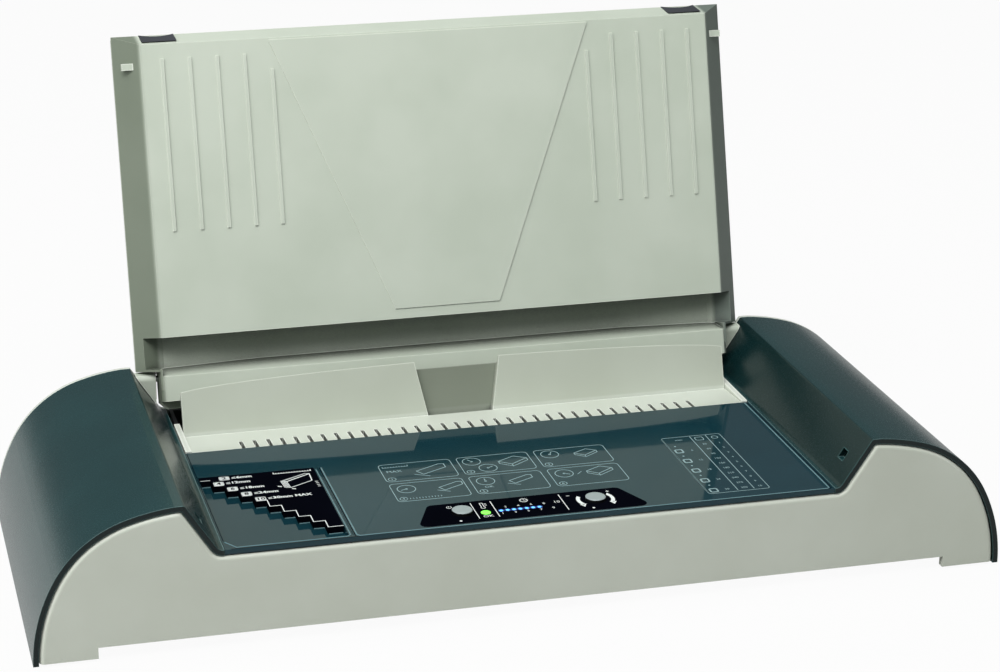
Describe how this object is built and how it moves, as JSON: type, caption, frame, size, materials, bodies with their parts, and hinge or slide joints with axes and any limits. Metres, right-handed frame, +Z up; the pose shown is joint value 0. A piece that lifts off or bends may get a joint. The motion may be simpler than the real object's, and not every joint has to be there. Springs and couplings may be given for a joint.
{
  "type": "thermal binding machine",
  "caption": "Wide low desktop machine with arched ends, glossy tray, heated slot behind a comb-edged guard, and a tall hinged cover that leans back as a rest.",
  "frame": {"origin": "bottom centre of the machine's box with its cover open, on the desk", "axes": "+X to the machine's right seen from the front, +Y from front to back, +Z up"},
  "size_m": [0.532, 0.2728, 0.2638],
  "materials": {
    "warm_grey_abs": "fine moulded grain",
    "pale_abs": "fine moulded grain",
    "dark_gloss_abs": "polished moulding",
    "tray_gloss": "polished moulding",
    "black_print": "gloss overlay",
    "black_heatproof": "matt heat-proof moulding",
    "silver_button": "satin silver paint",
    "green_lens": "clear green",
    "blue_lens": "clear blue",
    "dark_rubber": "matt",
    "board": "solder resist",
    "component": "moulded",
    "aluminium": "milled",
    "mica": "pressed sheet",
    "mineral_fibre": "felted",
    "zinc_steel": "zinc plated",
    "pin_steel": "ground"
  },
  "bodies": {
    "body": {"base_pan": "black_heatproof", "rubber_feet": "dark_rubber", "case_screws": "zinc_steel", "front_panel": "pale_abs", "rear_panel": "pale_abs", "side_cover_right": "dark_gloss_abs", "side_cover_left": "dark_gloss_abs", "tray_panel": "tray_gloss", "thickness_gauge": "black_print", "control_window": "black_print", "ready_lens": "green_lens", "progress_lenses": "blue_lens", "control_board": "board", "control_chip": "component", "board_screws": "zinc_steel", "key_switches": "component", "indicator_leds": "component", "buzzer": "component", "power_board": "board", "power_components": "component", "mains_inlet": "component", "slot_frame": "pale_abs", "slot_liner": "black_heatproof", "heater_plate": "aluminium", "heating_element": "mica", "heater_insulation": "mineral_fibre", "heater_channel": "zinc_steel", "thermostat": "component", "thermal_fuse": "component", "hinge_block_left": "warm_grey_abs", "hinge_block_right": "warm_grey_abs", "hinge_pin_left": "pin_steel", "hinge_pin_right": "pin_steel"},
    "cover": {"cover_inner_panel": "warm_grey_abs", "cover_outer_shell": "warm_grey_abs", "cover_catch_left": "warm_grey_abs", "cover_catch_right": "warm_grey_abs", "cover_bumper_left": "dark_rubber", "cover_bumper_right": "dark_rubber"},
    "guard": {"slot_guard": "pale_abs"},
    "power_key": {"power_button": "silver_button"},
    "select_key": {"select_button": "silver_button"}
  },
  "joints": [
    {"name": "cover_hinge", "type": "hinge", "parent": "body", "child": "cover", "pos_m": [0, 0.05857, 0.076], "axis": [1, 0, 0], "range_deg": [0, 107]},
    {"name": "guard_slide", "type": "slide", "parent": "body", "child": "guard", "axis": [0, 1, 0], "range_m": [0, 0.0115]},
    {"name": "power_press", "type": "slide", "parent": "body", "child": "power_key", "axis": [0, 0, -1], "range_m": [0, 0.0008], "stiffness_N_per_m": 900, "springref_m": -0.0003},
    {"name": "select_press", "type": "slide", "parent": "body", "child": "select_key", "axis": [0, 0, -1], "range_m": [0, 0.0008], "stiffness_N_per_m": 900, "springref_m": -0.0003}
  ],
  "couplings": [
    {"joint": "guard_slide", "follows": "cover_hinge", "m_per_rad": 0.0061579}
  ]
}
